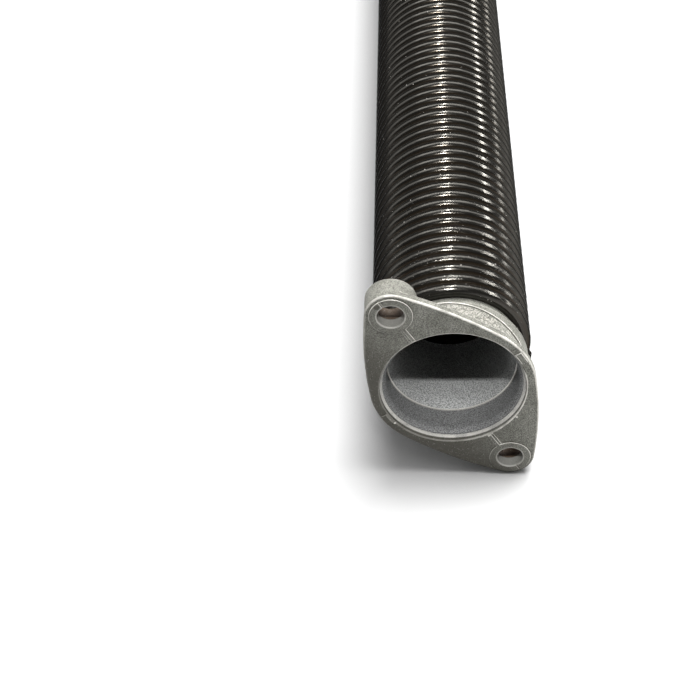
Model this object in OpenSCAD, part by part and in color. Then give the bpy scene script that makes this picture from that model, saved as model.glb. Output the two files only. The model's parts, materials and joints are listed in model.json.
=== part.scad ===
// Torsion spring for an overhead door: a close-wound coil of round wire, screwed at one end
// onto a bolted stationary cone and at the other onto a winding cone with two set screws.
// The axis of the spring is Y and Z is up, and the coil runs away along +Y. The origin is the
// centre of the bolt circle, in the plane of the lands that meet the bracket.

/* [Spring] */
// Diameter of the round spring wire
wire_d = 5.95; // [5.3:0.05:6.4]
// Inside diameter of the coil
coil_inner_d = 50.8; // [49.6:0.1:52.4]
// Gap between neighbouring turns of the unwound spring
turn_gap = 0.09; // [0.09:0.01:0.25]
// Number of half turns of wire
half_turns = 183; // [40:1:200]
// Distance from the flange face to the centre of the wire at its first end
wire_start = 20.4; // [20.2:0.1:23]

/* [Fit of the coil on the cones] */
// Clearance between the wire and the groove that it sits in
seat_clearance = 0.04; // [0.02:0.01:0.04]
// Clearance past the cut end of the wire
end_clearance = 0.5; // [0.3:0.1:1.5]
// Height of a groove's crest above its root
crest_h = 1.25; // [0.9:0.05:1.6]

/* [Flange of the stationary cone] */
// Angle of the line through both bolt holes from the vertical
ear_angle = 32.7; // [0:0.1:90]
// Diameter of the circle through the two bolt holes
bolt_circle_d = 87.3; // [84:0.1:92]
// Diameter of each bolt hole
bolt_hole_d = 10.3; // [9:0.1:11]
// Radius of each ear round its bolt hole
ear_r = 9.7; // [8.8:0.1:10.6]
// Width of the flange's rim round the bearing seat
rim_w = 3.85; // [3.6:0.05:4.6]
// Radius of the long curves between the middle and the ears
side_r = 175; // [120:5:300]
// Thickness of the flange plate
flange_t = 3.2; // [2.6:0.1:4]
// Rounding of the flange's front edge
flange_round = 1.1; // [0.6:0.1:1.6]
// Length of each ear boss, from the flange face to its rear end
boss_len = 10.3; // [8:0.1:12]
// Rounding of the rear end of a boss
boss_round = 0.9; // [0.4:0.1:1.5]

/* [Raised lands on the flange face] */
// Height of the lands above the flange face
land_h = 0.5; // [0.3:0.1:0.8]
// Radius of the ring land round each bolt hole
ring_land_r = 8.2; // [7.6:0.1:8.6]
// Width of the radial rib from each ring land to the mouth
rib_w = 1.5; // [1.2:0.1:2.2]
// Width of the low step along one side of the rib
rib_step_w = 1.0; // [0.6:0.1:1.4]
// Height of the low step
rib_step_h = 0.25; // [0.15:0.05:0.3]
// Length of each side pad along the rim
pad_l = 5.4; // [4:0.1:7]
// Width of each side pad across the rim
pad_w = 3; // [2.4:0.1:3.4]
// Distance from the mouth to the inner edge of each side pad
pad_inset = 0.2; // [0.1:0.1:0.4]
// Width of the witness groove from each bolt hole to the end of its ear
witness_w = 0.5; // [0.3:0.1:0.8]
// Depth of the witness groove
witness_depth = 0.3; // [0.2:0.1:0.4]

/* [Bore of the stationary cone] */
// Radius of the bearing seat at the mouth
seat_r = 28.05; // [27.6:0.05:28.3]
// Depth of the bearing seat
seat_depth = 1.7; // [1.5:0.1:2.2]
// Chamfer at the mouth
mouth_chamfer = 0.3; // [0.2:0.1:0.5]
// Step in radius from the seat to the inner shoulder
seat_step = 1.25; // [1:0.05:1.5]
// Width of each of the two fine ledges at the bottom of the seat
ledge_w = 0.25; // [0.15:0.05:0.35]
// Depth of the inner shoulder
shoulder_depth = 2.9; // [2.7:0.1:3.2]
// Step in radius from the inner shoulder to the drum's bore
bore_step = 1.25; // [1:0.05:1.6]
// Depth of the parting step in the bore
parting_depth = 14.6; // [13:0.1:15]
// Height of the parting step
parting_step = 0.45; // [0.3:0.05:0.6]
// Wall between the groove root and the bore under the coil
hub_wall = 3.2; // [2.8:0.1:3.8]
// Draft of the hub's bore, as the change in its radius over half of the hub
bore_taper = 0.3; // [0.2:0.05:0.4]
// Distance from the drum's rear face to the throat of the hub's bore
throat_depth = 1; // [0.5:0.1:2]

/* [Collar and hub of the stationary cone] */
// Wall of the drum round the bearing seat
drum_wall = 0.95; // [0.8:0.05:1.5]
// Height of the raised sloping band on the drum
band_h = 0.6; // [0.4:0.1:0.9]
// Slope of the front edge of the band
band_slope = 18.7; // [14:0.1:22]
// Angle of the band's furthest point from the top, seen from the front
band_angle = -15; // [-40:1:10]
// Depth at which the sloping edge crosses the axis
band_depth = 6.5; // [5.5:0.1:7.5]
// Gap along the axis between the drum's rear face and the wire
collar_gap = 0.2; // [0.15:0.05:0.4]
// Rounding of the drum's rear edge
collar_round = 1; // [0.6:0.1:1.4]
// Length of the grooved hub behind the drum
hub_len = 33; // [28:0.5:40]
// Length of the tapered lead-in at a hub's free end
lead_in = 3; // [2:0.1:4]
// Rounding of the edges that are only broken
edge_break = 0.3; // [0.2:0.1:0.5]

/* [Winding cone] */
// Radius of the collar that the last turn meets
w_collar_r = 30; // [29:0.1:31]
// Thickness of that collar
w_collar_t = 6; // [5:0.1:8]
// Length of the grooved hub
w_hub_len = 30; // [26:0.5:36]
// Distance from the floor of the cored-out hub to the collar's front face
core_floor = 2; // [1:0.5:4]
// Radius of the head between its sockets
head_r = 24.5; // [23:0.1:26]
// Length of the head
head_len = 33; // [30:0.5:38]
// Distance from the axis to the mouths of the bar sockets
socket_reach = 40; // [37:0.5:43]
// Outer radius of each bar socket
socket_r = 11; // [10:0.1:12]
// Diameter of the hole for a winding bar
bar_hole_d = 13.5; // [13:0.1:14.5]
// Depth of the hole for a winding bar
bar_hole_depth = 23; // [18:0.5:23.5]
// Number of bar sockets
sockets = 4; // [4:1:4]
// Radius of the web disc between the sockets
web_r = 34; // [31:0.5:36]
// Thickness of the web disc
web_t = 6; // [4:0.5:9]
// Diameter of the bore for the shaft
shaft_bore_d = 25.7; // [25.5:0.1:26.2]
// Radius of the tail sleeve
tail_r = 20.5; // [19:0.1:22]
// Length of the tail sleeve
tail_len = 19; // [17:0.5:24]
// Rounding of the winding cone's outer edges
w_round = 1.2; // [0.6:0.1:1.8]
// Radius of each set screw boss
screw_boss_r = 8; // [7.4:0.1:9]
// Distance from the axis to the face of a set screw boss
screw_boss_reach = 26; // [24:0.5:28]

/* [Set screws] */
// Thread diameter of a set screw
screw_d = 9.5; // [9:0.1:10]
// Length of a set screw below its head
screw_len = 19; // [16:0.5:22]
// Width of the square head across its flats
screw_head_w = 9.5; // [9:0.1:11]
// Height of the square head
screw_head_h = 7; // [6:0.1:8]
// Clearance between the thread and its hole
screw_clearance = 0.1; // [0.05:0.01:0.15]
// Distance from the shaft bore's wall to the tip of a backed-out screw
screw_backout = 0.4; // [0.2:0.1:1]
// Length of the turned point and chamfers of a screw
screw_chamfer = 1; // [0.6:0.1:1.4]

/* [Hidden] */

$fn = 96;
WIRE_FN = 24;
ROUND_FN = 32;
EPS = 0.01;
// How far a shape runs on into the one that it joins, or a cutter past the face that it opens
OVERLAP = 0.5;
FAR = 200;
TILT_STEP = 0.00001;
RING_STEP = 0.001;

wire_r = wire_d / 2;
mean_r = coil_inner_d / 2 + wire_r;
// Each half turn is half a ring, tilted so that its ends meet those of its neighbours. The sine
// of the tilt and the ring's radius are kept to round values, so that they meet exactly.
tilt_sine = ceil((wire_d + turn_gap) / (4 * mean_r) / TILT_STEP) * TILT_STEP;
tilt = asin(tilt_sine);
ring_r = round(mean_r / cos(tilt) / RING_STEP) * RING_STEP;
rise = 2 * ring_r * tilt_sine;
wire_end = wire_start + half_turns * rise;

groove_r = wire_r + seat_clearance;
root_r = mean_r - groove_r;
crest_r = root_r + crest_h;
end_angle = asin(end_clearance / mean_r);

flange_r = seat_r + rim_w;
collar_r = seat_r + drum_wall;
step_r = seat_r - seat_step;
bore_r = step_r - bore_step;

bolt_r = bolt_circle_d / 2;
// Centre of a long side curve, which is tangent to the middle and to an ear.
reach_main = side_r - flange_r;
reach_ear = side_r - ear_r;
side_x = (pow(reach_main, 2) - pow(reach_ear, 2) + pow(bolt_r, 2)) / (2 * bolt_r);
side_y = sqrt(pow(reach_main, 2) - pow(side_x, 2));
side_from = atan2(side_y, bolt_r - side_x);
side_to = atan2(side_y, -side_x);

collar_len = wire_start - wire_r - collar_gap;
hub_end = collar_len + hub_len;
hub_bore_r = root_r - hub_wall;
hub_groove_halves = ceil((hub_end - wire_start + wire_r) / rise) + 1;

w_face = wire_end + wire_r + collar_gap;
w_hub_start = w_face - w_hub_len;
w_groove_halves = ceil((wire_end - w_hub_start + wire_r) / rise) + 1;
head_start = w_face + w_collar_t;
head_end = head_start + head_len;
socket_z = head_start + head_len / 2;
tail_end = head_end + tail_len;
shaft_bore_r = shaft_bore_d / 2;
screw_z = head_end + tail_len / 2;
screw_tip = shaft_bore_r + screw_backout;
SCREW_TURN = 45;

CAST = "#9a978c";
OILED = "#1c1b19";
STEEL = "#6f6f70";

// Turns a shape made along Z onto the spring's axis, Y. Along Z, 0 is the flange face, and the
// lands stand out in front of it.
module along_axis() {
  rotate([-90, 0, 0]) translate([0, 0, land_h]) children();
}

// A plate of revolution with a rounded front edge, from radius r_in to r_out.
module round_plate_profile(r_in, r_out, t, round) {
  translate([r_in, 0]) square([r_out - round - r_in, t]);
  translate([r_in, round]) square([r_out - r_in, t - round]);
  translate([r_out - round, round]) circle(r = round, $fn = ROUND_FN);
}

// A drum of revolution with both of its outer edges rounded.
module round_drum_profile(r_in, r_out, len, front_round, rear_round) {
  translate([r_in, 0]) square([r_out - front_round - r_in, len / 2]);
  translate([r_in, front_round]) square([r_out - r_in, len - front_round - rear_round]);
  translate([r_in, len / 2]) square([r_out - rear_round - r_in, len / 2]);
  translate([r_out - front_round, front_round]) circle(r = front_round, $fn = ROUND_FN);
  translate([r_out - rear_round, len - rear_round]) circle(r = rear_round, $fn = ROUND_FN);
}

// Places half turn number h of the helix, whose tilted ring the child follows. The height is
// made up of a round part and the small rest, which keeps it exact a long way out.
module half_turn_place(h) {
  height = wire_start + (h + 0.5) * rise;
  round_part = floor(height / RING_STEP) * RING_STEP;
  translate([0, 0, round_part])
    translate([0, 0, height - round_part])
      rotate([0, 0, 180 * abs(h % 2)])
        rotate([0, tilt, 0])
          children();
}

// Part of a half turn with the given wire radius: the wire itself, or the cutter of its groove.
module half_turn(radius, angle = 180) {
  rotate_extrude(angle = angle) translate([ring_r, 0]) circle(r = radius, $fn = WIRE_FN);
}

// Grooves for half turns first to last, run on past a cut end of the wire where one is there.
module grooves(first, last) {
  for (h = [first : last]) half_turn_place(h) half_turn(groove_r);
  if (first == 0)
    half_turn_place(-1) rotate([0, 0, 180 - end_angle]) half_turn(groove_r, end_angle);
  if (last == half_turns - 1)
    half_turn_place(half_turns) half_turn(groove_r, end_angle);
}

module spring_coil() {
  color(OILED) along_axis()
    for (h = [0 : half_turns - 1]) half_turn_place(h) half_turn(wire_r);
}

// The flange is drawn with its ears along X and turned to ear_angle.
module ears_up() {
  rotate([0, 0, -90 - ear_angle]) children();
}

module flange() {
  rotate_extrude() round_plate_profile(0, flange_r, flange_t, flange_round);
  for (side = [0, 180]) rotate([0, 0, side]) {
    translate([bolt_r, 0, 0]) rotate_extrude() {
      round_drum_profile(0, ear_r, boss_len, flange_round, boss_round);
      // Ring land round the bolt hole
      translate([0, -land_h]) square([ring_land_r, 2 * land_h]);
    }
    translate([seat_r, -ear_r / 2, 0]) cube([bolt_r - seat_r, ear_r, flange_t]);
    for (flip = [0, 1]) mirror([0, flip, 0])
      translate([side_x, -side_y, 0]) rotate([0, 0, side_from])
        rotate_extrude(angle = side_to - side_from)
          round_plate_profile(side_r - 1.5 * ear_r, side_r, flange_t, flange_round);
  }
}

// The other lands that meet the bracket: a stepped rib from each ring to the mouth, and two pads.
module lands() {
  rib_len = bolt_r - seat_r;
  for (side = [0, 180]) rotate([0, 0, side]) {
    translate([seat_r - OVERLAP, 0, -land_h]) cube([rib_len, rib_w, land_h + EPS]);
    translate([seat_r - OVERLAP, -rib_step_w, -rib_step_h])
      cube([rib_len, rib_step_w + EPS, rib_step_h + EPS]);
    translate([-pad_l / 2, seat_r + pad_inset, -land_h]) cube([pad_l, pad_w, land_h + EPS]);
  }
}

// Drum behind the flange, with the raised band behind a sloping edge.
module collar() {
  rotate_extrude() round_drum_profile(0, collar_r, collar_len, edge_break, collar_round);
  intersection() {
    rotate_extrude() round_drum_profile(0, collar_r + band_h, collar_len, edge_break, collar_round);
    rotate([0, 0, band_angle - 90])
      translate([0, 0, band_depth])
        rotate([0, -band_slope, 0])
          translate([-FAR / 2, -FAR / 2, 0]) cube([FAR, FAR, FAR]);
  }
}

module hub_profile(length) {
  polygon([
    [0, 0], [crest_r, 0], [crest_r, length - lead_in], [root_r - lead_in / 5, length], [0, length]
  ]);
}

// Everything that is hollow inside the stationary cone, from in front of the mouth to past the hub:
// the bearing seat with its two ledges, the collar's bore, the parting step and the hub's taper.
module cone_bore_profile() {
  front = -2 * land_h;
  ledge_z = (seat_depth + shoulder_depth) / 2;
  throat_z = collar_len + throat_depth;
  polygon([
    [0, front], [seat_r + mouth_chamfer - front, front], [seat_r, mouth_chamfer], [seat_r, seat_depth],
    [step_r + 2 * ledge_w, ledge_z], [step_r + ledge_w, ledge_z],
    [step_r + ledge_w, shoulder_depth], [step_r, shoulder_depth],
    [bore_r + ledge_w, shoulder_depth + seat_step], [bore_r, shoulder_depth + 2 * seat_step],
    [bore_r, parting_depth], [bore_r - parting_step, parting_depth],
    [hub_bore_r + 3 * bore_taper, throat_z], [hub_bore_r + bore_taper, throat_z + 4 * lead_in / 3],
    [hub_bore_r, hub_end - hub_len / 2], [hub_bore_r - bore_taper, hub_end + OVERLAP],
    [0, hub_end + OVERLAP]
  ]);
}

module stationary_cone() {
  color(CAST) along_axis() difference() {
    union() {
      ears_up() flange();
      ears_up() lands();
      collar();
      translate([0, 0, collar_len - OVERLAP]) rotate_extrude() hub_profile(hub_len + OVERLAP);
    }
    rotate_extrude() cone_bore_profile();
    grooves(0, hub_groove_halves - 1);
    ears_up() for (side = [0, 180]) rotate([0, 0, side]) {
      translate([bolt_r, 0, -land_h - OVERLAP])
        cylinder(d = bolt_hole_d, h = boss_len + land_h + 2 * OVERLAP);
      translate([bolt_r, -witness_w / 2, -land_h - OVERLAP])
        cube([ear_r, witness_w, witness_depth + OVERLAP]);
    }
  }
}

// A radial boss on the winding cone, from inside the body out to the given reach.
module radial_boss(r, reach, round) {
  rotate([0, 90, 0]) rotate_extrude() union() {
    square([r, reach - round]);
    square([r - round, reach]);
    translate([r - round, reach - round]) circle(r = round, $fn = ROUND_FN);
  }
}

module winding_head() {
  translate([0, 0, w_face])
    rotate_extrude() round_drum_profile(0, w_collar_r, w_collar_t, edge_break, w_round);
  translate([0, 0, head_start - OVERLAP]) cylinder(r = head_r, h = head_len + OVERLAP);
  translate([0, 0, socket_z - web_t / 2])
    rotate_extrude() round_drum_profile(0, web_r, web_t, w_round, w_round);
  translate([0, 0, head_end - OVERLAP])
    rotate_extrude() round_drum_profile(0, tail_r, tail_len + OVERLAP, edge_break, w_round);
  for (s = [0 : sockets - 1])
    translate([0, 0, socket_z]) rotate([0, 0, s * 360 / sockets])
      radial_boss(socket_r, socket_reach, w_round);
  for (side = [0, 180])
    translate([0, 0, screw_z]) rotate([0, 0, SCREW_TURN + side])
      radial_boss(screw_boss_r, screw_boss_reach, w_round);
}

module winding_cone() {
  color(CAST) along_axis() difference() {
    union() {
      winding_head();
      translate([0, 0, w_face + OVERLAP]) mirror([0, 0, 1])
        rotate_extrude() hub_profile(w_hub_len + OVERLAP);
    }
    translate([0, 0, w_hub_start - OVERLAP])
      cylinder(r = hub_bore_r, h = w_hub_len - core_floor + OVERLAP);
    translate([0, 0, w_face - core_floor - OVERLAP])
      cylinder(r = shaft_bore_r, h = tail_end - w_face + core_floor + 2 * OVERLAP);
    grooves(half_turns - w_groove_halves, half_turns - 1);
    for (s = [0 : sockets - 1])
      translate([0, 0, socket_z]) rotate([0, 0, s * 360 / sockets]) rotate([0, 90, 0])
        translate([0, 0, socket_reach - bar_hole_depth])
          cylinder(d = bar_hole_d, h = bar_hole_depth + OVERLAP);
    for (side = [0, 180])
      translate([0, 0, screw_z]) rotate([0, 0, SCREW_TURN + side]) rotate([0, 90, 0])
        cylinder(d = screw_d + 2 * screw_clearance, h = screw_boss_reach + OVERLAP);
  }
}

// Square-head set screw with its tip at the origin and its head along Z.
module set_screw() {
  point_r = screw_d / 2 - screw_chamfer;
  rotate_extrude() polygon([
    [0, 0], [point_r, 0], [screw_d / 2, screw_chamfer], [screw_d / 2, screw_len + EPS], [0, screw_len + EPS]
  ]);
  translate([0, 0, screw_len]) intersection() {
    translate([-screw_head_w / 2, -screw_head_w / 2, 0]) cube([screw_head_w, screw_head_w, screw_head_h]);
    // A flat cone takes the corners off the top of the head.
    rotate_extrude() polygon([
      [0, -OVERLAP], [screw_head_w, -OVERLAP], [screw_head_w, screw_head_h - screw_head_w / 4],
      [screw_head_w / 2, screw_head_h], [0, screw_head_h]
    ]);
  }
}

module placed_screw(turn) {
  color(STEEL) along_axis() translate([0, 0, screw_z]) rotate([0, 0, turn]) rotate([0, 90, 0])
    translate([0, 0, screw_tip]) set_screw();
}

module set_screw_1() {
  placed_screw(SCREW_TURN);
}

module set_screw_2() {
  placed_screw(SCREW_TURN + 180);
}

spring_coil();
stationary_cone();
winding_cone();
set_screw_1();
set_screw_2();
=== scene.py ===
import json
import math

import bmesh
import bpy
import numpy as np
from mathutils import Matrix, Vector
from mathutils.kdtree import KDTree


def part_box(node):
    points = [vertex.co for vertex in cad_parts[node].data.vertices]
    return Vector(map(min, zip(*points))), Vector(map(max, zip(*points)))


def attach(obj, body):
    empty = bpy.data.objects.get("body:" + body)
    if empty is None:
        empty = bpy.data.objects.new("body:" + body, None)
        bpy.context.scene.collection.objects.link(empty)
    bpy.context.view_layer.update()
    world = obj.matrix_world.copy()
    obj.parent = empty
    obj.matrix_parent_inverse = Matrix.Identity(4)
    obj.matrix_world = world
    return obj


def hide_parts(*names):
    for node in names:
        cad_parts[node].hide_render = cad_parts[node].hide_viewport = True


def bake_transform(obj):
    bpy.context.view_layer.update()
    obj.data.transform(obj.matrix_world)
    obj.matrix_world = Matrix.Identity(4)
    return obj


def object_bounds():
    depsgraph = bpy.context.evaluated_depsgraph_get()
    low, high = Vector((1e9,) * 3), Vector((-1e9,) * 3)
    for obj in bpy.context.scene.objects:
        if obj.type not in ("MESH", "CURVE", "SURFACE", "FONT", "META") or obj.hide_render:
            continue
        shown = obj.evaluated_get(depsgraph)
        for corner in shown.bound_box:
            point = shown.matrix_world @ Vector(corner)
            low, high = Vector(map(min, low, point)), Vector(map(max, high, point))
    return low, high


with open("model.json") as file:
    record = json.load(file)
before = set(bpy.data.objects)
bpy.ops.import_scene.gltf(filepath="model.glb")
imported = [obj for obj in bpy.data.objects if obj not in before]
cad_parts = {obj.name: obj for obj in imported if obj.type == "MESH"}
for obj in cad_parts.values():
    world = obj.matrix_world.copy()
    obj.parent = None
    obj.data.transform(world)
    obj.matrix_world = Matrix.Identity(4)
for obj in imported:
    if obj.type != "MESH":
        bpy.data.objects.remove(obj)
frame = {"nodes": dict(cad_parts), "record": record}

cad_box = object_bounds()
MM = 0.001

# ---------------------------------------------------------------- sizes, from the frame
mounts = {mount["name"]: mount for mount in frame["record"]["mounts"]}
coil_low, coil_high = (Vector(corner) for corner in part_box("spring_coil"))
floor_height = cad_box[0][2]
middle_of_length = (cad_box[0][1] + cad_box[1][1]) / 2

# The coil: its wire, its turns, and the gap left between two turns so that they don't merge.
WIRE_RADIUS = 2.975 * MM
WIRE_TURNS = 91.5
COIL_RADIUS = (coil_high.x - coil_low.x) / 2 - WIRE_RADIUS
WIRE_START = coil_low.y + WIRE_RADIUS
WIRE_PITCH = (coil_high.y - coil_low.y - 2 * WIRE_RADIUS) / WIRE_TURNS
TURN_GAP = 0.002 * MM
STEPS_A_TURN = 56
WIRE_SIDES = 16

# The stationary cone: its mouth, its bolt holes and the drum behind its flange.
MOUTH_RADIUS = mounts["bearing_seat"]["dims"]["r_mm"] * MM
PARTING_DEPTH = 15.1 * MM
BOLT_CIRCLE_RADIUS = mounts["bracket_bolts"]["dims"]["pcd_mm"] / 2 * MM
BOLT_HOLE_RADIUS = mounts["bracket_bolts"]["dims"]["hole_r_mm"] * MM
HOLE_BARE_DEPTH = 4.3 * MM
EAR_LEAN = math.radians(32.7)
DRUM_RADIUS = MOUTH_RADIUS + 0.95 * MM
FLANGE_BACK = 3.8 * MM

# The rough front of the drum ends on a slanting line: its depth on the axis, and how much that
# depth changes to the right and upwards.
CRUST_DEPTH = 7 * MM
CRUST_SLOPE_X = -0.0876
CRUST_SLOPE_Z = 0.327

# Knocks on the flange's face, each with its place and size.
BRIGHT_NICKS = (((25.1 * MM, 0.5 * MM, -14.8 * MM), 0.6 * MM),
                ((-22.1 * MM, 0.5 * MM, -18.2 * MM), 0.6 * MM))
DARK_MARKS = (((-28.7 * MM, 0, 41.2 * MM), 1.5 * MM),
              ((-27.1 * MM, 0, 43.6 * MM), 1.0 * MM))

# How the sharp outer edges of the castings are rounded.
EDGE_RADIUS = 0.25 * MM
SHARP_ANGLE = math.radians(28)
FLAT_ANGLE = math.radians(0.05)
WELD_DISTANCE = 0.002 * MM

# ---------------------------------------------------------------- colours
CAST_DARK = (0.149, 0.148, 0.127, 1)
CAST_PALE = (0.232, 0.232, 0.204, 1)
# Painted shade for the lower left of the flange.
CAST_PAINTED_SHADE = (0.068, 0.064, 0.052, 1)
MOUTH_FRONT = (0.185, 0.187, 0.186, 1)
MOUTH_DEEP = (0.330, 0.335, 0.330, 1)
HOLE_BARE = (0.30, 0.30, 0.28, 1)
# Brown painted shade deep inside the bolt holes.
HOLE_PAINTED_SHADE = (0.075, 0.045, 0.027, 1)
DIE_CRUST = (0.55, 0.53, 0.48, 1)
BRIGHT_GRAIN = (0.62, 0.62, 0.57, 1)
PIT_DARK = (0.045, 0.04, 0.032, 1)
MARK_DARK = (0.05, 0.044, 0.035, 1)
# Wear on rubbed corners, also used as a painted highlight on upward corners, the bolt-hole rims and
# the parting line.
RUB_AND_HIGHLIGHT_BRIGHT = (0.72, 0.70, 0.65, 1)
# Painted shade for the crevices.
CREVICE_PAINTED_SHADE = (0.05, 0.045, 0.036, 1)

# Painted brown reflection for the wire between the turns.
WIRE_PAINTED_REFLECTION = (0.036, 0.026, 0.016, 1)
WIRE_BLACK = (0.056, 0.054, 0.049, 1)
# Painted shade for the wire's left flank.
WIRE_PAINTED_SHADE = (0.010, 0.009, 0.008, 1)
WIRE_SCUFF = (0.14, 0.13, 0.12, 1)
WIRE_DUST = (0.42, 0.40, 0.37, 1)
OIL_EDGE_TINT = (0.22, 0.22, 0.22, 1)

ZINC_DARK = (0.34, 0.33, 0.31, 1)
ZINC_PALE = (0.5, 0.5, 0.5, 1)

WHITE = (1, 1, 1, 1)
FLOOR_SEEN = (0.8, 0.8, 0.8, 1)
FLOOR_LIGHTING = (0.3, 0.3, 0.3, 1)

# ---------------------------------------------------------------- floor, light and camera
FLOOR_HALF_SIZE = 12.0
# The floor glows least under the object and full white further off. The rise is drawn out
# along the spring, and the floor that the object closes off glows less.
GLOW_BY_OBJECT = 0.3
GLOW_RISE_FROM = 0.22
GLOW_RISE_TO = 0.8
GLOW_DRAWN_OUT = 0.45
CONTACT_REACH = 80 * MM

# White walls end at this height of view; above them the studio is dim.
WALL_TOP_FROM = 0.2
WALL_TOP_TO = 0.3
STUDIO_STRENGTH = 0.04

# Each lamp's name, place, target, width, height and watts, then its colour and whether it
# lights the floor alone. The others light the object alone.
NEUTRAL = (1, 1, 1)
WARM = (1, 0.6, 0.35)
MOUTH_MIDDLE = (0, 20 * MM, 0)
COIL_FRONT = (0, 0.1, 0)
COIL_NEAR = (0, 0.2, 0)
LAMPS = (
    ("overhead_strip", (0.03, 0.4, 1.35), COIL_FRONT, 0.035, 0.6, 8, NEUTRAL, False),
    ("overhead_wide", (-0.1, 0.5, 1.35), COIL_FRONT, 1.6, 0.5, 9.5, NEUTRAL, False),
    ("front_top", (0.0, -0.62, 1.12), MOUTH_MIDDLE, 0.1, 0.05, 14, NEUTRAL, False),
    ("right_high", (0.95, 0.25, 0.76), COIL_NEAR, 0.9, 0.06, 10, NEUTRAL, False),
    ("right_low", (1.15, 0.25, 0.3), COIL_NEAR, 0.9, 0.05, 3, NEUTRAL, False),
    ("right_fill", (0.75, 0.4, 1.1), COIL_NEAR, 0.5, 1.3, 6, NEUTRAL, False),
    ("left_fill", (-0.95, 0.35, 0.95), COIL_NEAR, 0.7, 1.9, 7.5, NEUTRAL, False),
    ("behind_warm", (0, 2.6, 0.7), (0, 0.3, 0), 2.2, 0.5, 5, WARM, False),
    ("floor_light", (0.22, 0.25, 1.3), COIL_FRONT, 0.8, 0.9, 30, NEUTRAL, True),
)

# The camera's place, its heading to the left of +Y, its dip below the horizon and its roll.
CAMERA_PLACE = (-20.9 * MM, -399.0 * MM, 381.4 * MM)
CAMERA_HEADING = math.radians(2.56)
CAMERA_DIP = math.radians(42.09)
CAMERA_ROLL = math.radians(-1.7)
CAMERA_LENS = 74.4
CAMERA_SENSOR = 36
CAMERA_CLIP = 20


# ---------------------------------------------------------------- node helpers
def set_socket(tree, socket, value):
    """Joins a socket to another node's output, or sets it to a plain value."""
    if isinstance(value, bpy.types.NodeSocket):
        tree.links.new(value, socket)
    else:
        socket.default_value = value


def node(tree, kind, inputs=None, **settings):
    """Adds a node, sets its properties, and sets or joins its inputs by name or number."""
    made = tree.nodes.new(kind)
    for name, value in settings.items():
        setattr(made, name, value)
    for key, value in (inputs or {}).items():
        set_socket(tree, made.inputs[key], value)
    return made


def math_node(tree, operation, a, b=0.0, c=0.0, clamp=False):
    made = node(tree, "ShaderNodeMath", {0: a, 1: b, 2: c}, operation=operation, use_clamp=clamp)
    return made.outputs[0]


def times(tree, *values):
    """The product of two or more values, masks or plain numbers."""
    product = values[0]
    for value in values[1:]:
        product = math_node(tree, "MULTIPLY", product, value)
    return product


def times_plus(tree, a, b, c):
    return math_node(tree, "MULTIPLY_ADD", a, b, c)


def larger(tree, a, b):
    return math_node(tree, "MAXIMUM", a, b)


def left_by(tree, mask):
    """The mask of all that another mask leaves free."""
    return math_node(tree, "SUBTRACT", 1.0, mask)


def ramp(tree, value, low, high, out_low=0.0, out_high=1.0):
    """Maps value from low..high to out_low..out_high, held at the ends."""
    inputs = {"Value": value, "From Min": low, "From Max": high,
              "To Min": out_low, "To Max": out_high}
    made = node(tree, "ShaderNodeMapRange", inputs, interpolation_type="SMOOTHSTEP")
    return made.outputs["Result"]


def blend_colors(tree, factor, a, b, blend_type="MIX"):
    """Colour a where factor is 0, going to b where it is 1."""
    first_color, second_color, mixed_color = 6, 7, 2
    inputs = {"Factor": factor, first_color: a, second_color: b}
    made = node(tree, "ShaderNodeMix", inputs, data_type="RGBA", blend_type=blend_type)
    return made.outputs[mixed_color]


def paint(tree, base, mask, color, amount):
    """The base colour with another colour laid over it where the mask is, as much as amount."""
    return blend_colors(tree, times(tree, mask, amount), base, color)


def noise(tree, vector, scale, detail=2.0, roughness=0.5, distortion=0.0):
    inputs = {"Vector": vector, "Scale": scale, "Detail": detail, "Roughness": roughness,
              "Distortion": distortion}
    return node(tree, "ShaderNodeTexNoise", inputs).outputs["Fac"]


def split(tree, vector):
    """The X, Y and Z of a vector."""
    return node(tree, "ShaderNodeSeparateXYZ", {0: vector}).outputs


def object_place(tree):
    """The place on the object, in its own frame."""
    return node(tree, "ShaderNodeTexCoord").outputs["Object"]


FLOAT, VECTOR = "NodeSocketFloat", "NodeSocketVector"


def new_group(name, inputs, outputs):
    """An empty shader node group with the given inputs, each with its default, and outputs."""
    group = bpy.data.node_groups.new(name, "ShaderNodeTree")
    for socket_name, kind, default in inputs:
        socket = group.interface.new_socket(socket_name, in_out="INPUT", socket_type=kind)
        if default is not None:
            socket.default_value = default
    for socket_name in outputs:
        group.interface.new_socket(socket_name, in_out="OUTPUT", socket_type=FLOAT)
    return group


def group_input(group):
    return group.nodes.new("NodeGroupInput").outputs


def set_outputs(group, **values):
    """Joins the group's outputs, named with _ for a space, to the values worked out for them."""
    out = group.nodes.new("NodeGroupOutput")
    for name, value in values.items():
        group.links.new(value, out.inputs[name.replace("_", " ")])
    return group


def use_group(tree, group, **inputs):
    """Places a group, sets or joins its inputs, named with _ for a space, and gives its outputs."""
    made = node(tree, "ShaderNodeGroup", node_tree=group)
    for name, value in inputs.items():
        set_socket(tree, made.inputs[name.replace("_", " ")], value)
    return made.outputs


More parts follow.
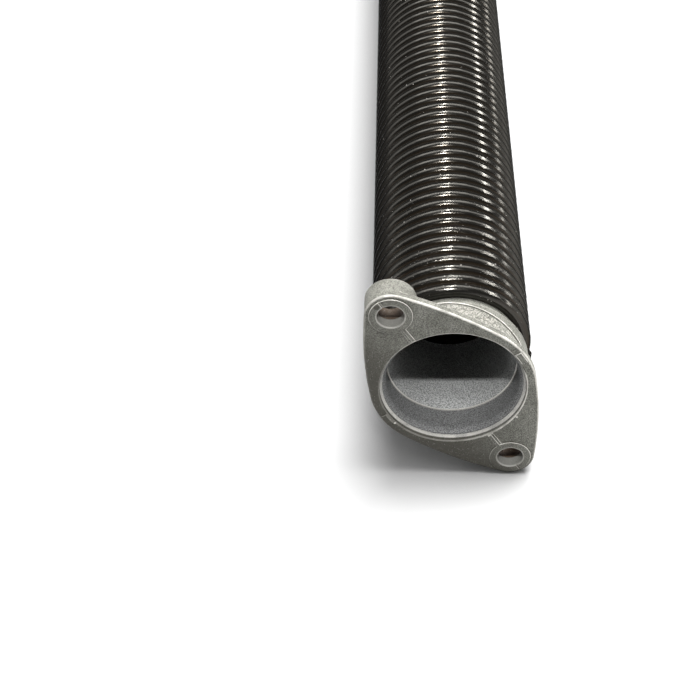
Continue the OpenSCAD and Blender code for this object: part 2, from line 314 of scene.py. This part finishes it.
# ---------------------------------------------------------------- shared effects
def axis_group():
    """Round the spring's axis: the radius, the way round as a length, the place along it, faces
    that look inwards, and a painted shade that darkens the left flank."""
    outputs = ("Radius", "Arc", "Along", "Inward", "Left flank")
    group = new_group("around_axis", (), outputs)
    coordinates = node(group, "ShaderNodeTexCoord").outputs
    parts = split(group, coordinates["Object"])
    square = times_plus(group, parts["Z"], parts["Z"], times(group, parts["X"], parts["X"]))
    radius = math_node(group, "SQRT", square)
    arc = times(group, math_node(group, "ARCTAN2", parts["X"], parts["Z"]), COIL_RADIUS)
    outward = node(group, "ShaderNodeCombineXYZ", {"X": parts["X"], "Z": parts["Z"]}).outputs[0]
    facing = node(group, "ShaderNodeVectorMath", {0: outward, 1: coordinates["Normal"]},
                  operation="DOT_PRODUCT").outputs["Value"]
    inward = ramp(group, math_node(group, "DIVIDE", facing, radius), 0.15, -0.1)
    leftward = times_plus(group, parts["Z"], 0.35, parts["X"])
    flank_shade = ramp(group, leftward, -0.4 * COIL_RADIUS, -0.85 * COIL_RADIUS, 0.0, 0.9)
    return set_outputs(group, Radius=radius, Arc=arc, Along=parts["Y"], Inward=inward,
                       Left_flank=flank_shade)


def bolt_hole_group():
    """The distance to the axis of the nearer of the two bolt holes, which lie on a leaning line."""
    group = new_group("around_bolt_holes", (), ("Distance",))
    parts = split(group, object_place(group))
    lean_x, lean_z = math.sin(EAR_LEAN), math.cos(EAR_LEAN)
    along = times_plus(group, parts["X"], -lean_x, times(group, parts["Z"], lean_z))
    aside = times_plus(group, parts["X"], lean_z, times(group, parts["Z"], lean_x))
    from_hole = math_node(group, "SUBTRACT", math_node(group, "ABSOLUTE", along),
                          BOLT_CIRCLE_RADIUS)
    square = times_plus(group, from_hole, from_hole, times(group, aside, aside))
    return set_outputs(group, Distance=math_node(group, "SQRT", square))


def specks_group():
    """Small scattered specks, such as dust or the bright grains of a casting, as a mask."""
    smallest, spread = 0.22, 0.25
    sockets = (("Vector", VECTOR, None), ("Size", FLOAT, 0.001), ("Amount", FLOAT, 0.1),
               ("Softness", FLOAT, 0.3))
    group = new_group("specks", sockets, ("Mask",))
    given = group_input(group)
    scale = math_node(group, "DIVIDE", 1.0, given["Size"])
    cells = node(group, "ShaderNodeTexVoronoi", {"Vector": given["Vector"], "Scale": scale},
                 feature="F1").outputs
    chance = node(group, "ShaderNodeSeparateColor", {0: cells["Color"]}).outputs[0]
    chosen = math_node(group, "LESS_THAN", chance, given["Amount"])
    reach = times_plus(group, chance, spread, smallest)
    solid = math_node(group, "SUBTRACT", reach, times(group, given["Softness"], reach))
    spot = ramp(group, cells["Distance"], reach, solid)
    return set_outputs(group, Mask=times(group, spot, chosen))


def skin_group():
    """The skin of a casting: fine grain, broad mottling and a height that pits it."""
    sockets = (("Vector", VECTOR, None), ("Grain size", FLOAT, 0.0005),
               ("Mottle size", FLOAT, 0.009))
    group = new_group("cast_skin", sockets, ("Grain", "Mottle", "Height"))
    given = group_input(group)
    place = given["Vector"]
    fine = noise(group, place, math_node(group, "DIVIDE", 1.0, given["Grain size"]), 3.0, 0.6)
    broad = noise(group, place, math_node(group, "DIVIDE", 1.0, given["Mottle size"]), 5.0, 0.6)
    middle = noise(group, place, math_node(group, "DIVIDE", 0.35, given["Grain size"]))
    return set_outputs(group, Grain=ramp(group, fine, 0.3, 0.7),
                       Mottle=ramp(group, broad, 0.3, 0.7),
                       Height=times_plus(group, middle, 0.8, fine))


def corner_group():
    """Where a casting's surface turns round a front or rear corner, which handling rubs bright,
    with a painted highlight that makes upward-facing corners brighter.
    """
    group = new_group("rubbed_and_highlit_corners", (), ("Mask",))
    facing = node(group, "ShaderNodeNewGeometry").outputs["True Normal"]
    along = math_node(group, "ABSOLUTE", split(group, facing)["Y"])
    turned = times(group, ramp(group, along, 0.12, 0.4), ramp(group, along, 0.97, 0.8))
    own_normal = node(group, "ShaderNodeTexCoord").outputs["Normal"]
    lit_from_above = ramp(group, split(group, own_normal)["Z"], -0.5, 0.6, 0.35, 1.0)
    return set_outputs(group, Mask=times(group, turned, lit_from_above))


def mark_group():
    """A small ragged mark round one place, as a mask."""
    sockets = (("Vector", VECTOR, None), ("Place", VECTOR, None), ("Size", FLOAT, 0.001))
    group = new_group("ragged_mark", sockets, ("Mask",))
    given = group_input(group)
    apart = node(group, "ShaderNodeVectorMath", {0: given["Vector"], 1: given["Place"]},
                 operation="DISTANCE").outputs["Value"]
    scale = math_node(group, "DIVIDE", 2.5, given["Size"])
    ragged = noise(group, given["Vector"], scale, 3.0, 0.7)
    edge = times(group, given["Size"], times_plus(group, ragged, 1.6, 0.2))
    return set_outputs(group, Mask=ramp(group, apart, edge, times(group, edge, 0.6)))


AROUND_AXIS = axis_group()
BOLT_HOLES = bolt_hole_group()
CORNERS = corner_group()
MARK = mark_group()
SPECKS = specks_group()
CAST_SKIN = skin_group()


# ---------------------------------------------------------------- materials
def new_material(name):
    """A material with only its Principled shader and its output, and its node tree."""
    material = bpy.data.materials.new(name)
    material.use_nodes = True
    tree = material.node_tree
    return material, tree, tree.nodes["Principled BSDF"]


def set_shader(tree, shader, links, **constants):
    """Joins the shader's inputs to nodes, and sets those that are the same all over."""
    for name, socket in links.items():
        tree.links.new(socket, shader.inputs[name])
    for name, value in constants.items():
        shader.inputs[name.replace("_", " ")].default_value = value


def bump(tree, height, strength, distance):
    inputs = {"Height": height, "Strength": strength, "Distance": distance}
    return node(tree, "ShaderNodeBump", inputs).outputs["Normal"]


def specks(tree, vector, size, amount, softness=0.6):
    made = use_group(tree, SPECKS, Vector=vector, Size=size, Amount=amount, Softness=softness)
    return made["Mask"]


def either_mark(tree, place, marks):
    """The mask of two ragged marks, each given by its place and size."""
    masks = [use_group(tree, MARK, Vector=place, Place=middle, Size=size)["Mask"]
             for middle, size in marks]
    return larger(tree, *masks)


def mouth_mask(tree, around):
    """The walls inside the mouth, behind its rim."""
    within = ramp(tree, around["Radius"], MOUTH_RADIUS + 0.2 * MM, MOUTH_RADIUS - 0.3 * MM)
    behind_rim = ramp(tree, around["Along"], 1.2 * MM, 2.4 * MM)
    return times(tree, within, behind_rim, around["Inward"])


def painted_shade_low_left(tree, parts, mouth):
    """Painted shade, darker towards the lower left of the flange; the winding cone has much less of
    it.
    """
    sideways_share = 1.2
    across = times_plus(tree, parts["X"], sideways_share, parts["Z"])
    low_left_shade = ramp(tree, across, 10 * MM, -32 * MM, 0.0, 0.95)
    by_flange = ramp(tree, parts["Y"], 60 * MM, 90 * MM, 1.0, 0.25)
    return times(tree, low_left_shade, left_by(tree, mouth), by_flange)


def die_crust_mask(tree, place, parts, radius):
    """The rough skin that the die leaves on the drum, from the flange to a slanting line."""
    line = times_plus(tree, parts["Z"], CRUST_SLOPE_Z, CRUST_DEPTH)
    line = times_plus(tree, parts["X"], CRUST_SLOPE_X, line)
    before_line = ramp(tree, parts["Y"], line, math_node(tree, "SUBTRACT", line, 0.5 * MM))
    behind_flange = ramp(tree, parts["Y"], FLANGE_BACK, FLANGE_BACK + 0.8 * MM)
    above_hub = ramp(tree, radius, DRUM_RADIUS - 1.2 * MM, DRUM_RADIUS - 0.3 * MM)
    below_boss = ramp(tree, radius, DRUM_RADIUS + 0.6 * MM, DRUM_RADIUS + 0.2 * MM)
    patches = noise(tree, place, scale=900.0, detail=2.0, roughness=0.6, distortion=1.2)
    return times(tree, before_line, above_hub, below_boss, behind_flange,
                 ramp(tree, patches, 0.47, 0.6))


def rub_and_highlight_mask(tree, around, skin, mouth, low_left_shade, in_hole, worn_and_highlit):
    """Where handling rubs the casting bright and painted highlights lie: its corners, but not deep
    inside or on the painted shade.
    """
    rub_and_highlight = times(tree, use_group(tree, CORNERS)["Mask"],
                ramp(tree, skin["Mottle"], 0.0, 0.6, 0.45, 0.9))
    if worn_and_highlit:
        rub_and_highlight = larger(tree, rub_and_highlight, ramp(tree, skin["Mottle"], 0.0, 0.5, 0.6, 1.0))
    deep_inside = times(tree, mouth, ramp(tree, around["Along"], 2.6 * MM, 3.4 * MM))
    free_of_shade = left_by(tree, times(tree, low_left_shade, 0.8))
    return times(tree, rub_and_highlight, free_of_shade, left_by(tree, deep_inside), left_by(tree, in_hole))


def cast_aluminium(name, worn_and_highlit=False):
    """Die-cast aluminium, warm grey and gritty, with painted shade and painted highlights; the edge
    version brightens all of it as a rubbed, highlit edge is.
    """
    material, tree, shader = new_material(name)
    place = object_place(tree)
    parts = split(tree, place)
    around = use_group(tree, AROUND_AXIS)
    depth = around["Along"]
    skin = use_group(tree, CAST_SKIN, Vector=place, Grain_size=0.42 * MM, Mottle_size=9 * MM)
    mouth = mouth_mask(tree, around)
    low_left_shade = painted_shade_low_left(tree, parts, mouth)

    # The mottled skin, which is cooler and more even inside the mouth, with its grain.
    base = blend_colors(tree, skin["Mottle"], CAST_DARK, CAST_PALE)
    beyond_parting = ramp(tree, depth, PARTING_DEPTH - 0.2 * MM, PARTING_DEPTH + 0.2 * MM)
    mouth_color = blend_colors(tree, beyond_parting, MOUTH_FRONT, MOUTH_DEEP)
    base = blend_colors(tree, mouth, base, mouth_color)
    grain_shade = ramp(tree, skin["Grain"], 0.0, 1.0, 0.5, 1.5)
    base = blend_colors(tree, 1.0, base, grain_shade, "MULTIPLY")
    # Painted shade darkens the lower left of the flange.
    base = blend_colors(tree, low_left_shade, base, CAST_PAINTED_SHADE)

    # The bolt holes are bare and pale near the front; further in, a brown painted shade darkens
    # them.
    from_hole = use_group(tree, BOLT_HOLES)["Distance"]
    in_hole = ramp(tree, from_hole, BOLT_HOLE_RADIUS + 0.3 * MM, BOLT_HOLE_RADIUS + 0.1 * MM)
    hole_shade = ramp(tree, depth, HOLE_BARE_DEPTH, HOLE_BARE_DEPTH + 0.7 * MM)
    hole_wall = blend_colors(tree, hole_shade, HOLE_BARE, HOLE_PAINTED_SHADE)
    base = paint(tree, base, in_hole, hole_wall, amount=0.85)

    # Crust on the drum, bright grains, pits and the dark marks by the upper ear.
    crust = die_crust_mask(tree, place, parts, around["Radius"])
    base = paint(tree, base, crust, DIE_CRUST, amount=0.7)
    bright_grains = specks(tree, place, size=0.5 * MM, amount=0.3)
    base = paint(tree, base, bright_grains, BRIGHT_GRAIN, amount=0.7)
    pits = specks(tree, place, size=1.1 * MM, amount=0.09)
    base = paint(tree, base, pits, PIT_DARK, amount=0.7)
    base = paint(tree, base, either_mark(tree, place, DARK_MARKS), MARK_DARK, amount=0.75)

    # Rubbed corners, with a painted highlight on the upward ones, the nicks, and painted highlights
    # on the rims of the bolt holes and on the parting line.
    rub_and_highlight = rub_and_highlight_mask(tree, around, skin, mouth, low_left_shade, in_hole, worn_and_highlit)
    hole_rim_highlight = ramp(tree, from_hole, BOLT_HOLE_RADIUS + 0.6 * MM, BOLT_HOLE_RADIUS + 0.4 * MM)
    hole_rim_highlight = times(tree, hole_rim_highlight, ramp(tree, depth, 0.7 * MM, 0.4 * MM, 0.0, 0.4))
    nicks = either_mark(tree, place, BRIGHT_NICKS)
    from_parting = math_node(tree, "ABSOLUTE",
                             math_node(tree, "SUBTRACT", depth, PARTING_DEPTH))
    parting_highlight = times(tree, ramp(tree, from_parting, 0.3 * MM, 0.12 * MM), mouth, 0.8)
    rub_and_highlight = larger(tree, larger(tree, rub_and_highlight, parting_highlight), larger(tree, nicks, hole_rim_highlight))
    base = paint(tree, base, rub_and_highlight, RUB_AND_HIGHLIGHT_BRIGHT, amount=0.85)

    # Painted shade in the crevices outside the mouth, darker where ambient occlusion finds them
    # closed in.
    open_sky = node(tree, "ShaderNodeAmbientOcclusion", {"Distance": 1.6 * MM}, samples=8,
                    only_local=True).outputs["AO"]
    crevice_shade = times(tree, ramp(tree, open_sky, 0.9, 0.45), left_by(tree, mouth))
    base = paint(tree, base, crevice_shade, CREVICE_PAINTED_SHADE, amount=0.7)

    grain_rough = ramp(tree, skin["Grain"], 0.0, 1.0, 0.78, 0.58)
    rough = times_plus(tree, rub_and_highlight, -0.2, grain_rough)
    metallic = times_plus(tree, rub_and_highlight, 0.4, 0.2)
    height = times_plus(tree, crust, 3.0, skin["Height"])
    height = times_plus(tree, pits, -2.0, height)
    normal = bump(tree, height, 0.6, 0.1 * MM)
    set_shader(tree, shader, {"Base Color": base, "Roughness": rough, "Normal": normal,
                              "Metallic": metallic})
    return material


def oiled_wire():
    """Oil-tempered spring wire: black and glossy with oil, dusty on top, with a painted brown
    reflection between the turns and a painted shade on its left flank.
    """
    material, tree, shader = new_material("oiled_wire")
    around = use_group(tree, AROUND_AXIS)
    radius, along = around["Radius"], around["Along"]
    unrolled = node(tree, "ShaderNodeCombineXYZ", {"X": around["Arc"], "Y": along, "Z": radius})
    unrolled = unrolled.outputs[0]

    # The front of the first turn lies open, so it gets no painted brown reflection and is as black
    # and glossy as the outer side.
    first_turn = ramp(tree, along, WIRE_START + 0.9 * WIRE_PITCH, WIRE_START + 0.3 * WIRE_PITCH)
    outer = ramp(tree, radius, COIL_RADIUS + 0.4 * WIRE_RADIUS, COIL_RADIUS + 0.85 * WIRE_RADIUS)
    outer = larger(tree, outer, first_turn)
    metal_share = ramp(tree, radius, COIL_RADIUS + 0.2 * WIRE_RADIUS, COIL_RADIUS + 0.65 * WIRE_RADIUS)
    metal_share = larger(tree, metal_share, first_turn)

    # Streaks drawn along the wire, and gritty patches, most of them on the first turns.
    stretched = node(tree, "ShaderNodeMapping", {"Vector": unrolled, "Scale": (0.1, 1.0, 1.0)})
    streaks = noise(tree, stretched.outputs[0], scale=1500.0, detail=4.0, roughness=0.65)
    patches = noise(tree, unrolled, scale=75.0, detail=4.0, roughness=0.6)
    grit = noise(tree, unrolled, scale=2300.0, detail=2.0, roughness=0.6)
    gritty = times(tree, ramp(tree, patches, 0.42, 0.56),
                   ramp(tree, along, 35 * MM, 120 * MM, 1.0, 0.08))
    scuffed = times(tree, ramp(tree, streaks, 0.56, 0.7), gritty)

    # Dust lies as coarse specks all over and as fine ones mostly where it is gritty.
    dust = specks(tree, unrolled, size=1.5 * MM, amount=0.05)
    fine_dust = specks(tree, unrolled, size=0.8 * MM, amount=0.14, softness=0.7)
    dust = larger(tree, dust, times(tree, fine_dust, times_plus(tree, gritty, 0.6, 0.2)))
    dusty = times(tree, dust, outer)

    # Painted brown reflection on the wire's inner side, between the turns.
    base = blend_colors(tree, outer, WIRE_PAINTED_REFLECTION, WIRE_BLACK)
    # Painted shade darkens the wire's left flank.
    base = blend_colors(tree, around["Left flank"], base, WIRE_PAINTED_SHADE)
    base = paint(tree, base, scuffed, WIRE_SCUFF, amount=0.35)
    base = paint(tree, base, dusty, WIRE_DUST, amount=0.7)

    rough = ramp(tree, streaks, 0.3, 0.7, 0.14, 0.22)
    rough = math_node(tree, "MULTIPLY_ADD", dusty, 0.4, rough, clamp=True)
    rough = times_plus(tree, scuffed, 0.15, rough)
    height = times_plus(tree, times(tree, grit, gritty), 2.0, times(tree, streaks, 0.08))
    height = times_plus(tree, dust, 0.8, height)
    normal = bump(tree, height, 0.4, 0.08 * MM)
    metallic = math_node(tree, "SUBTRACT", times(tree, metal_share, 0.88), dusty, clamp=True)
    set_shader(tree, shader, {"Base Color": base, "Roughness": rough, "Normal": normal,
                              "Metallic": metallic},
               Specular_IOR_Level=0.1, Specular_Tint=OIL_EDGE_TINT)
    return material


def plated_steel():
    """Dull zinc-plated steel of the set screws."""
    material, tree, shader = new_material("plated_steel")
    place = object_place(tree)
    clouds = noise(tree, place, scale=260.0, detail=4.0, roughness=0.6)
    fine = noise(tree, place, scale=2600.0, detail=3.0, roughness=0.6)
    base = blend_colors(tree, ramp(tree, clouds, 0.3, 0.7), ZINC_DARK, ZINC_PALE)
    rough = ramp(tree, fine, 0.3, 0.7, 0.3, 0.5)
    normal = bump(tree, fine, 0.2, 0.05 * MM)
    set_shader(tree, shader, {"Base Color": base, "Roughness": rough, "Normal": normal},
               Metallic=0.9)
    return material


def seen_directly(tree):
    """1 where the camera or a reflection looks at a surface, 0 where it lights another."""
    path = node(tree, "ShaderNodeLightPath").outputs
    seen = larger(tree, path["Is Camera Ray"], path["Is Glossy Ray"])
    return larger(tree, seen, path["Is Transmission Ray"])


def pale_floor():
    """A plain pale floor, seen as white by the camera and in reflections, but for the shadow."""
    material, tree, shader = new_material("pale_floor")
    seen = seen_directly(tree)
    middle = (0, -middle_of_length * GLOW_DRAWN_OUT, 0)
    squeezed = node(tree, "ShaderNodeMapping", {"Vector": object_place(tree), "Location": middle,
                                                "Scale": (1, GLOW_DRAWN_OUT, 0)})
    apart = node(tree, "ShaderNodeVectorMath", {0: squeezed.outputs[0]},
                 operation="LENGTH").outputs["Value"]
    glow = ramp(tree, apart, GLOW_RISE_FROM, GLOW_RISE_TO, GLOW_BY_OBJECT, 1.0)
    open_floor = node(tree, "ShaderNodeAmbientOcclusion", {"Distance": CONTACT_REACH},
                      samples=8).outputs["AO"]
    contact_shade = ramp(tree, open_floor, 0.3, 0.95, 0.1, 1.0)
    base = blend_colors(tree, seen, FLOOR_LIGHTING, FLOOR_SEEN)
    set_shader(tree, shader, {"Base Color": base,
                              "Emission Strength": times(tree, seen, glow, contact_shade)},
               Emission_Color=WHITE, Roughness=0.9, Specular_IOR_Level=0.0)
    return material


CAST = cast_aluminium("cast_aluminium")
CAST_EDGE = cast_aluminium("cast_aluminium_edge", worn_and_highlit=True)
WIRE = oiled_wire()
STEEL = plated_steel()


# ---------------------------------------------------------------- meshes
def place_mesh(name, mesh):
    made = bpy.data.objects.new(name, mesh)
    bpy.context.scene.collection.objects.link(made)
    return made


def mesh_object(name, points, faces, material):
    mesh = bpy.data.meshes.new(name)
    mesh.from_pydata(points, [], faces)
    mesh.materials.append(material)
    return place_mesh(name, mesh)


def helix_tube(name, material):
    """The closed tube of the coil's wire, wound round the Y axis from its right-hand side,
    where it starts downwards."""
    full_turn = 2 * math.pi
    count = int(WIRE_TURNS * STEPS_A_TURN) + 1
    turn = np.linspace(0, WIRE_TURNS * full_turn, count)
    slope = math.atan2(WIRE_PITCH, full_turn * COIL_RADIUS)
    outward = np.stack([np.cos(turn), np.zeros(count), -np.sin(turn)], axis=1)
    forward = np.stack([-np.sin(turn), np.zeros(count), -np.cos(turn)], axis=1)
    along = np.array([0.0, 1.0, 0.0])
    middle = COIL_RADIUS * outward + np.outer(WIRE_START + WIRE_PITCH * turn / full_turn, along)
    # Across the wire: square to its own slope, and just wide enough to close on the next turn.
    sideways = math.cos(slope) * along - math.sin(slope) * forward
    half_width = (WIRE_PITCH * math.cos(slope) - TURN_GAP) / 2
    round_wire = np.arange(WIRE_SIDES) * full_turn / WIRE_SIDES
    points = (middle[:, None, :]
              + WIRE_RADIUS * np.cos(round_wire)[None, :, None] * outward[:, None, :]
              + half_width * np.sin(round_wire)[None, :, None] * sideways[:, None, :])
    ring = np.arange(count - 1)[:, None] * WIRE_SIDES
    side = np.arange(WIRE_SIDES)[None, :]
    after = (side + 1) % WIRE_SIDES
    next_ring = ring + WIRE_SIDES
    faces = np.stack([ring + side, ring + after, next_ring + after, next_ring + side], axis=2)
    faces = [tuple(face) for face in faces.reshape(-1, 4).tolist()]
    first_end = tuple(range(WIRE_SIDES))[::-1]
    last = (count - 1) * WIRE_SIDES
    last_end = tuple(range(last, last + WIRE_SIDES))
    made = mesh_object(name, points.reshape(-1, 3).tolist(), faces + [first_end, last_end],
                       material)
    for face in made.data.polygons[:len(faces)]:
        face.use_smooth = True
    return made


def face_outward(piece):
    """Turns all the faces of a closed mesh outwards."""
    work = bmesh.new()
    work.from_mesh(piece.data)
    bmesh.ops.recalc_face_normals(work, faces=work.faces)
    work.to_mesh(piece.data)
    work.free()


def set_edge_weights(work):
    """Weighs each sharp outer edge by the rounding that it takes without meeting a neighbour."""
    nearly_parallel = 0.8
    same_line = 0.03 * MM
    share_of_clearance = 0.42
    weights = work.edges.layers.float.new("bevel_weight_edge")
    outer = [edge for edge in work.edges
             if len(edge.link_faces) == 2 and edge.is_convex
             and edge.calc_face_angle(0) > SHARP_ANGLE]
    middles = [(edge.verts[0].co + edge.verts[1].co) / 2 for edge in outer]
    directions = [(edge.verts[1].co - edge.verts[0].co).normalized() for edge in outer]
    nearby = KDTree(len(outer))
    for number, middle in enumerate(middles):
        nearby.insert(middle, number)
    nearby.balance()
    for number, edge in enumerate(outer):
        clearance = 2 * EDGE_RADIUS
        for place, other, _ in nearby.find_range(middles[number], 2 * EDGE_RADIUS):
            beside = (place - middles[number]).cross(directions[number]).length
            parallel = abs(directions[other].dot(directions[number])) > nearly_parallel
            if other != number and parallel and beside > same_line:
                clearance = min(clearance, beside)
        edge[weights] = min(1.0, share_of_clearance * clearance / EDGE_RADIUS)


def softened_casting(name, cad_node):
    """A copy of a casting with its outer edges rounded off, in the material of rubbed and highlit
    edges.
    """
    mesh = frame["nodes"][cad_node].data.copy()
    mesh.name = name
    mesh.materials.clear()
    mesh.materials.append(CAST)
    mesh.materials.append(CAST_EDGE)
    work = bmesh.new()
    work.from_mesh(mesh)
    bmesh.ops.remove_doubles(work, verts=work.verts, dist=WELD_DISTANCE)
    bmesh.ops.dissolve_limit(work, angle_limit=FLAT_ANGLE, verts=work.verts, edges=work.edges)
    set_edge_weights(work)
    for face in work.faces:
        face.material_index = 0
        face.smooth = True
    for edge in work.edges:
        edge.smooth = edge.calc_face_angle(0) < SHARP_ANGLE
    work.to_mesh(mesh)
    work.free()
    made = place_mesh(name, mesh)
    rounding = made.modifiers.new("rounding", "BEVEL")
    rounding.limit_method = "WEIGHT"
    rounding.width = EDGE_RADIUS
    rounding.segments = 2
    rounding.use_clamp_overlap = False
    rounding.loop_slide = False
    rounding.material = 1
    shading = made.modifiers.new("shading", "WEIGHTED_NORMAL")
    shading.keep_sharp = True
    return made


coil = helix_tube("wire_coil", WIRE)
face_outward(coil)
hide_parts("spring_coil")
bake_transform(coil)

flange_casting = softened_casting("stationary_casting", "stationary_cone")
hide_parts("stationary_cone")
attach(flange_casting, "anchored_end")

winding_casting = softened_casting("winding_casting", "winding_cone")
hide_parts("winding_cone")
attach(winding_casting, "winding_end")

for screw_name in ("set_screw_1", "set_screw_2"):
    screw = frame["nodes"][screw_name]
    screw.data.materials.clear()
    screw.data.materials.append(STEEL)


# ---------------------------------------------------------------- the studio
def lay_floor():
    size = FLOOR_HALF_SIZE
    corners = [(-size, -size), (size, -size), (size, size), (-size, size)]
    points = [(x, y, floor_height) for x, y in corners]
    made = mesh_object("floor", points, [(0, 1, 2, 3)], pale_floor())
    return made


def hang_lamp(floor, name, place, target, width, height, power, color, on_floor):
    """A soft rectangular lamp at place, facing target, that lights the floor or the object."""
    data = bpy.data.lights.new(name, "AREA")
    data.shape = "RECTANGLE"
    data.size = width
    data.size_y = height
    data.energy = power
    data.color = color
    lamp = bpy.data.objects.new(name, data)
    lamp.location = place
    facing = Vector(target) - Vector(place)
    lamp.rotation_euler = facing.to_track_quat("-Z", "Y").to_euler()
    bpy.context.scene.collection.objects.link(lamp)
    reach = bpy.data.collections.new(name + "_reach")
    reach.objects.link(floor)
    link_state = "INCLUDE" if on_floor else "EXCLUDE"
    reach.collection_objects[0].light_linking.link_state = link_state
    lamp.light_linking.receiver_collection = reach


def set_camera():
    data = bpy.data.cameras.new("camera")
    data.lens = CAMERA_LENS
    data.sensor_width = CAMERA_SENSOR
    data.clip_end = CAMERA_CLIP
    made = bpy.data.objects.new("camera", data)
    made.matrix_world = (Matrix.Translation(CAMERA_PLACE)
                         @ Matrix.Rotation(CAMERA_HEADING, 4, "Z")
                         @ Matrix.Rotation(math.pi / 2 - CAMERA_DIP, 4, "X")
                         @ Matrix.Rotation(CAMERA_ROLL, 4, "Z"))
    bpy.context.scene.collection.objects.link(made)
    bpy.context.scene.camera = made


def set_world():
    """White walls, as the camera and reflections see them, round a dim studio."""
    made = bpy.data.worlds.new("studio")
    made.use_nodes = True
    tree = made.node_tree
    direction = node(tree, "ShaderNodeTexCoord").outputs["Generated"]
    below_top = ramp(tree, split(tree, direction)["Z"], WALL_TOP_TO, WALL_TOP_FROM)
    wall = times(tree, seen_directly(tree), below_top)
    strength = times_plus(tree, wall, 1 - STUDIO_STRENGTH, STUDIO_STRENGTH)
    background = tree.nodes["Background"]
    background.inputs["Color"].default_value = WHITE
    tree.links.new(strength, background.inputs["Strength"])
    bpy.context.scene.world = made


floor = lay_floor()
for lamp_settings in LAMPS:
    hang_lamp(floor, *lamp_settings)
set_world()
set_camera()

bpy.context.scene.view_settings.view_transform = "Standard"
